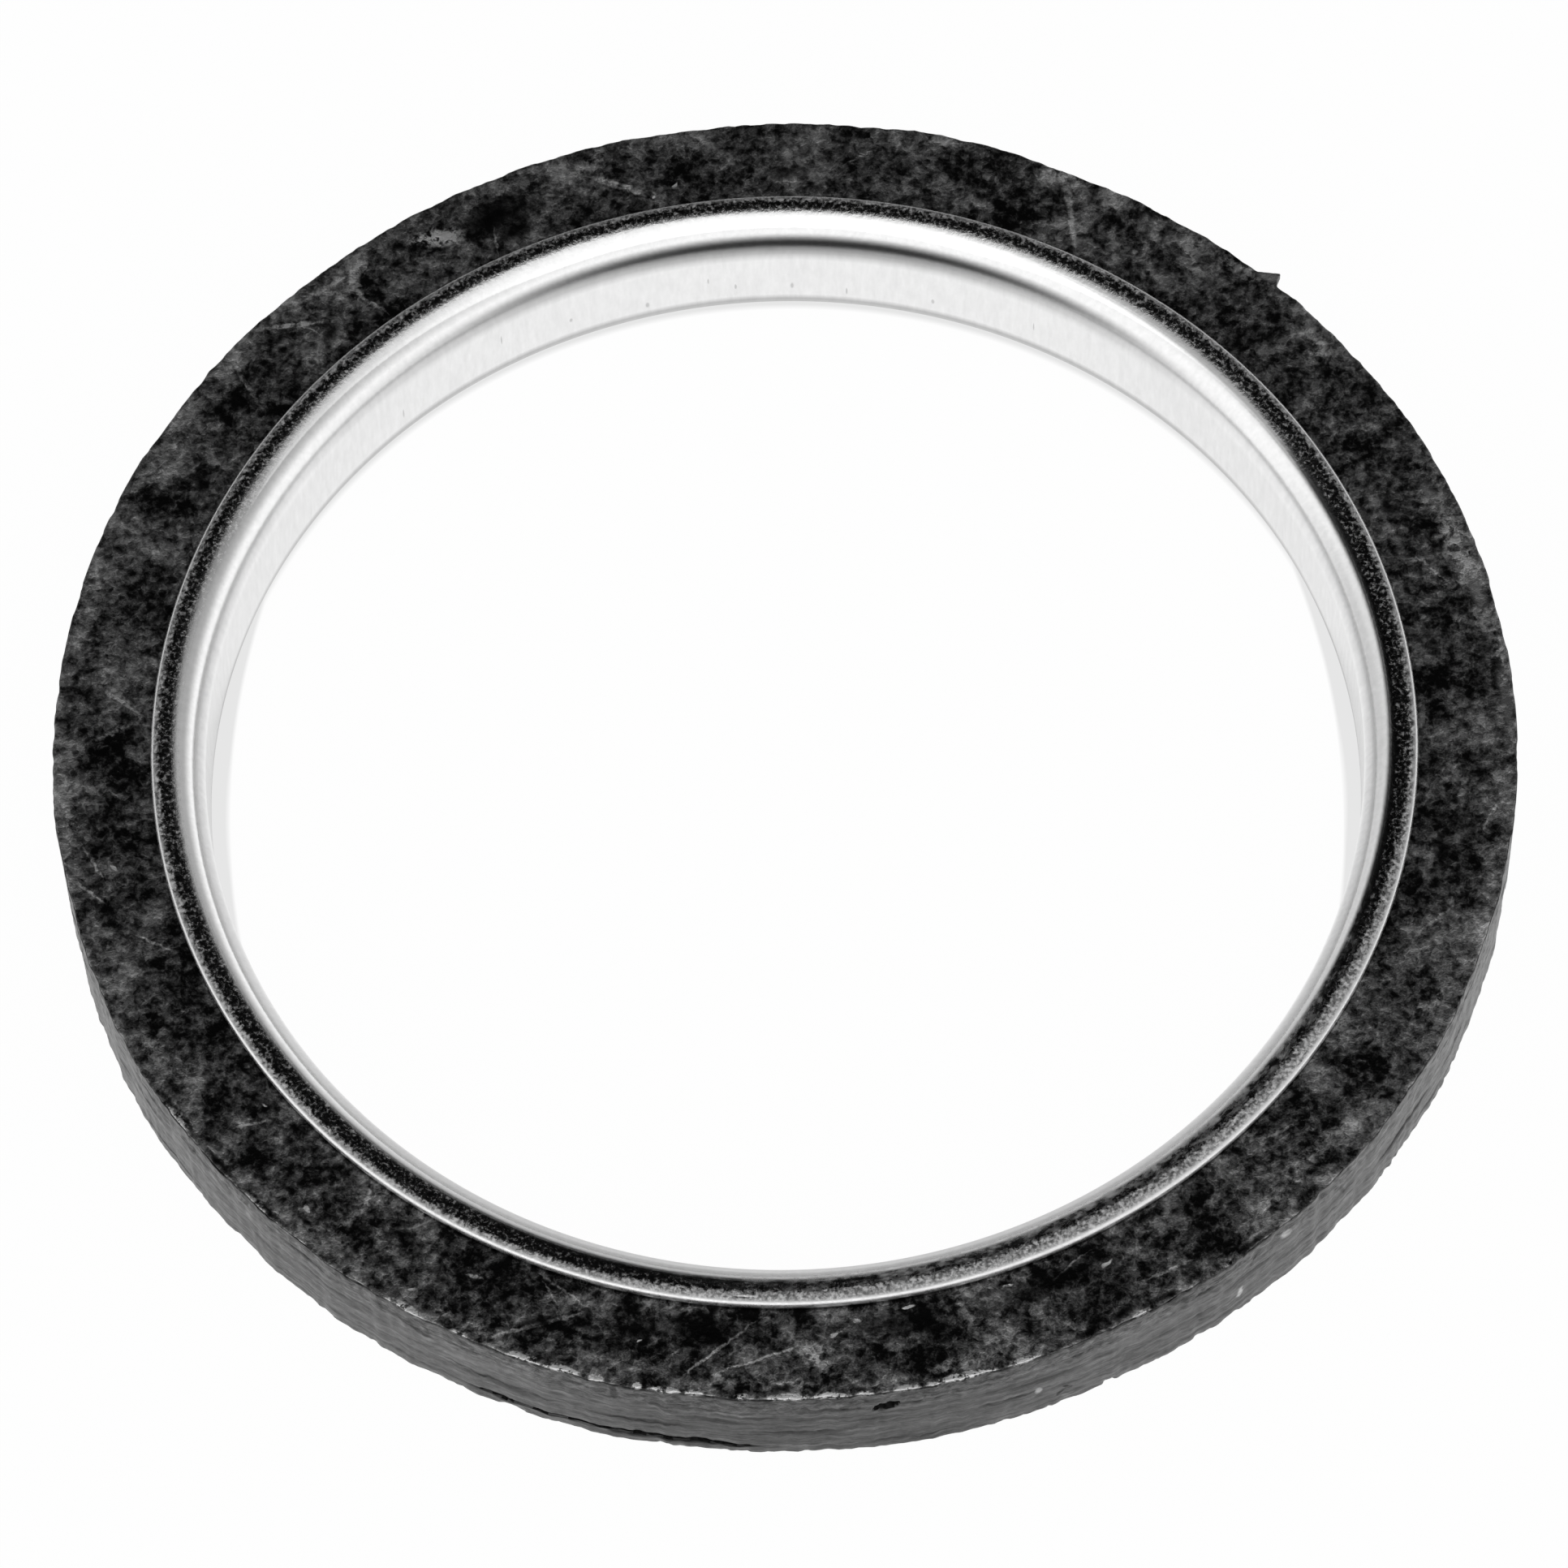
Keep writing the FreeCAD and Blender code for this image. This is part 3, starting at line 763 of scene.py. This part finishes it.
# Table
# A plain pale table under the ring. It looks white and keeps the ring's soft shade.
table_half = 3.0
table_tone = 0.9
table_whiteness = 0.98
corner_tone_low = 0.8
corner_shade_width = 0.3
table_corners = [(x * table_half, y * table_half, 0.0) for x, y in ((-1, -1), (1, -1), (1, 1), (-1, 1))]
table_mesh = bpy.data.meshes.new("table")
table_mesh.from_pydata(table_corners, [], [(0, 1, 2, 3)])
table = add_object("table", table_mesh)
table_white = bpy.data.materials.new("table_white")
table_white.use_nodes = True
tree = table_white.node_tree
tree.nodes.clear()
paper = tree.nodes.new("ShaderNodeBsdfDiffuse")
paper.inputs["Color"].default_value = (table_tone, table_tone, table_tone, 1)
glow = tree.nodes.new("ShaderNodeEmission")
path = tree.nodes.new("ShaderNodeLightPath")
seen = math_node(tree, "MAXIMUM", path.outputs["Is Camera Ray"], path.outputs["Is Glossy Ray"])
seen = math_node(tree, "MAXIMUM", seen, path.outputs["Is Transmission Ray"])
share = times(tree, seen, table_whiteness)
# The corner between the table and the wall's foot lies in a soft shade, wider at the two sides
axes = place_and_axes(tree)[1]
from_axis = level_and_radius(tree, axes)[1]
sideways = math_node(tree, "ABSOLUTE", axes["X"])
shade_start = spread(tree, sideways, bore_radius - 2.5, bore_radius - 0.8,
                     bore_radius + 0.1, bore_radius - 0.85)
in_corner = math_node(tree, "SUBTRACT", from_axis, shade_start)
past_corner = math_node(tree, "GREATER_THAN", from_axis, lip_radius)
corner_tone = spread(tree, in_corner, 0.0, corner_shade_width, 1.0, corner_tone_low)
corner_tone = math_node(tree, "MAXIMUM", corner_tone, past_corner)
tree.links.new(corner_tone, glow.inputs["Color"])
surface = tree.nodes.new("ShaderNodeMixShader")
polish = tree.nodes.new("ShaderNodeBsdfGlossy")
polish.inputs["Roughness"].default_value = 0.3
slant = tree.nodes.new("ShaderNodeLayerWeight")
slant.inputs["Blend"].default_value = 0.5
satin_table = tree.nodes.new("ShaderNodeMixShader")
output = tree.nodes.new("ShaderNodeOutputMaterial")
tree.links.new(share, surface.inputs[0])
tree.links.new(paper.outputs[0], surface.inputs[1])
tree.links.new(glow.outputs[0], surface.inputs[2])
sheen = spread(tree, slant.outputs["Facing"], 0.2, 1.0, 0.1, 0.85)
sheen = times(tree, sheen, math_node(tree, "SUBTRACT", 1.0, path.outputs["Is Camera Ray"]))
tree.links.new(sheen, satin_table.inputs[0])
tree.links.new(surface.outputs[0], satin_table.inputs[1])
tree.links.new(polish.outputs[0], satin_table.inputs[2])
tree.links.new(satin_table.outputs[0], output.inputs["Surface"])
table_mesh.materials.append(table_white)


# Light
# White studio light from all round and a soft lamp overhead. Behind the ring and low in front
# of it the room is dark, which the bright metal needs so that its bends show.
world = bpy.data.worlds.new("studio")
world.use_nodes = True
bpy.context.scene.world = world
tree = world.node_tree
direction = tree.nodes.new("ShaderNodeTexCoord").outputs["Generated"]
# Dark sides of the room: angle round the ring (90 is behind it), angle up, width, height,
# the share of it that is fully dark, and the light left there
dark_sides = (
    (98, 46, 0.72, 0.72, 0.7, 0.004), (148, 61, 0.52, 0.46, 0.5, 0.02), (97, 8, 0.8, 0.42, 0.35, 0.5),
    (25, 62, 0.45, 0.45, 0.3, 0.6), (62, 45, 1.5, 0.7, 0.4, 0.4), (263, -6, 1.15, 0.7, 0.46, 0.005),
    (152, 8, 0.65, 0.6, 0.2, 0.6),
)
light = 1.0
for turn, rise, wide, tall, core, shade in dark_sides:
    turn, rise = math.radians(turn), math.radians(rise)
    middle = Vector((math.cos(rise) * math.cos(turn), math.cos(rise) * math.sin(turn), math.sin(rise)))
    offset = node(tree, "VectorMath", direction, middle, operation="SUBTRACT")
    offset = node(tree, "VectorMath", offset, (1 / wide, 1 / wide, 1 / tall), operation="MULTIPLY")
    away = value_node(tree, "VectorMath", offset, operation="LENGTH")
    side = node(tree, "MapRange", away, core, 1.0, shade, 1.0, interpolation_type="SMOOTHSTEP")
    light = times(tree, side, light)
background = tree.nodes["Background"]
tree.links.new(light, background.inputs["Color"])
background.inputs["Strength"].default_value = 1.0

lamp_width = 1.2
lamp_depth = 1.0
lamp_watts = 1.4
lamp_tilt = math.radians(-20)
lamp_data = bpy.data.lights.new("soft_lamp", "AREA")
lamp_data.shape = "RECTANGLE"
lamp_data.size = lamp_width
lamp_data.size_y = lamp_depth
lamp_data.energy = lamp_watts
lamp = add_object("soft_lamp", lamp_data)
lamp.location = (0.0, -0.35, 0.85)
lamp.rotation_euler = (lamp_tilt, 0, 0)


# Camera
# It looks down at the ring from the front, as far away as the photograph's perspective says.
camera_elevation = math.radians(61.42)
camera_roll = math.radians(-1.933)
camera_distance = 414.0
camera_target = Vector((-0.076, -2.594, 6.32))
camera_sensor = 36.0
camera_lens = 201.3
camera_data = bpy.data.cameras.new("camera")
camera_data.sensor_width = camera_sensor
camera_data.lens = camera_lens
camera_data.clip_start = 0.02
camera = add_object("camera", camera_data)
back = Vector((0, -math.cos(camera_elevation), math.sin(camera_elevation)))
right = Vector((1, 0, 0))
up = back.cross(right)
turned_right = right * math.cos(camera_roll) + up * math.sin(camera_roll)
turned_up = up * math.cos(camera_roll) - right * math.sin(camera_roll)
pose = Matrix((turned_right, turned_up, back)).transposed().to_4x4()
pose.translation = (camera_target + back * camera_distance) * MM
camera.matrix_world = pose
bpy.context.scene.camera = camera
bpy.context.scene.view_settings.view_transform = "Standard"
